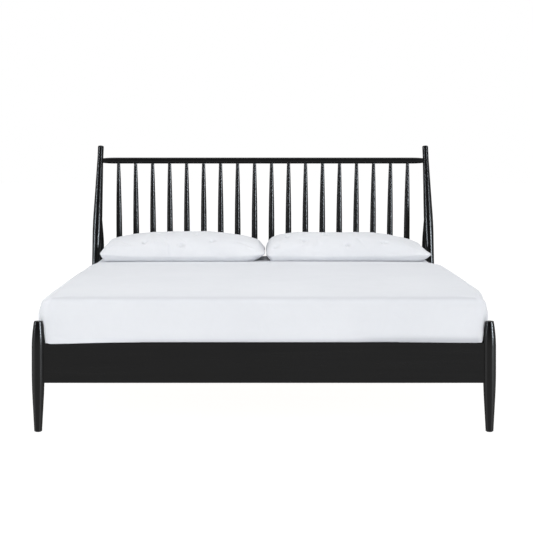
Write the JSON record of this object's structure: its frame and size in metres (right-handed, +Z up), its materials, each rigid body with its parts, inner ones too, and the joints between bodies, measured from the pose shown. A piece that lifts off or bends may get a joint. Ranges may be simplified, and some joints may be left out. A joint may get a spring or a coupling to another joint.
{
  "type": "spindle bed",
  "caption": "Low wooden double bed with turned legs, a raked headboard of upright spindles between long tapered posts, slatted base, mattress, cover and pillows.",
  "frame": {"origin": "on the floor, at the middle of the bed's footprint", "axes": "+Z up, +Y from the footboard to the headboard, +X to the right for someone standing at the foot and looking at the headboard"},
  "size_m": [1.9224, 2.153, 1.1751],
  "materials": {
    "black_lacquered_wood": "satin black lacquer over turned and planed hardwood",
    "plain_wood": "bare planed softwood",
    "bracket_steel": "black powder coat",
    "fastener_steel": "zinc plated",
    "glide_felt": "pressed felt",
    "mattress_ticking": "woven ticking",
    "white_cotton": "plain white cotton",
    "pillow_cotton": "plain white cotton"
  },
  "bodies": {
    "bed_frame": {"beam_hanger_front": "bracket_steel", "beam_hanger_rear": "bracket_steel", "bracket_bolts": "fastener_steel", "bracket_screws": "fastener_steel", "centre_beam": "plain_wood", "centre_leg_front": "plain_wood", "centre_leg_rear": "plain_wood", "cleat_left": "plain_wood", "cleat_right": "plain_wood", "corner_bracket_front_left": "bracket_steel", "corner_bracket_front_right": "bracket_steel", "corner_bracket_rear_left": "bracket_steel", "corner_bracket_rear_right": "bracket_steel", "flange_nuts": "fastener_steel", "foot_glides": "glide_felt", "footboard_rail": "black_lacquered_wood", "front_leg_left": "black_lacquered_wood", "front_leg_right": "black_lacquered_wood", "headboard_lower_rail": "black_lacquered_wood", "headboard_post_left": "black_lacquered_wood", "headboard_post_right": "black_lacquered_wood", "headboard_top_rail": "black_lacquered_wood", "rear_leg_left": "black_lacquered_wood", "rear_leg_right": "black_lacquered_wood", "side_rail_left": "black_lacquered_wood", "side_rail_right": "black_lacquered_wood", "slat_01": "plain_wood", "slat_02": "plain_wood", "slat_03": "plain_wood", "slat_04": "plain_wood", "slat_05": "plain_wood", "slat_06": "plain_wood", "slat_07": "plain_wood", "slat_08": "plain_wood", "slat_09": "plain_wood", "slat_10": "plain_wood", "slat_11": "plain_wood", "spindle_01": "black_lacquered_wood", "spindle_02": "black_lacquered_wood", "spindle_03": "black_lacquered_wood", "spindle_04": "black_lacquered_wood", "spindle_05": "black_lacquered_wood", "spindle_06": "black_lacquered_wood", "spindle_07": "black_lacquered_wood", "spindle_08": "black_lacquered_wood", "spindle_09": "black_lacquered_wood", "spindle_10": "black_lacquered_wood", "spindle_11": "black_lacquered_wood", "spindle_12": "black_lacquered_wood", "spindle_13": "black_lacquered_wood", "spindle_14": "black_lacquered_wood", "spindle_15": "black_lacquered_wood", "spindle_16": "black_lacquered_wood", "spindle_17": "black_lacquered_wood", "spindle_18": "black_lacquered_wood", "support_screws": "fastener_steel"},
    "made_up_mattress": {"mattress": "mattress_ticking", "bed_cover": "white_cotton"},
    "pillow_left": {"pillow_left": "pillow_cotton"},
    "pillow_right": {"pillow_right": "pillow_cotton"}
  },
  "joints": [
    {"name": "mattress_lift", "type": "slide", "parent": "bed_frame", "child": "made_up_mattress", "axis": [0, 0, 1], "range_m": [0, 0.25]},
    {"name": "pillow_left_lift", "type": "slide", "parent": "made_up_mattress", "child": "pillow_left", "axis": [0, 0, 1], "range_m": [0, 0.3]},
    {"name": "pillow_right_lift", "type": "slide", "parent": "made_up_mattress", "child": "pillow_right", "axis": [0, 0, 1], "range_m": [0, 0.3]}
  ]
}
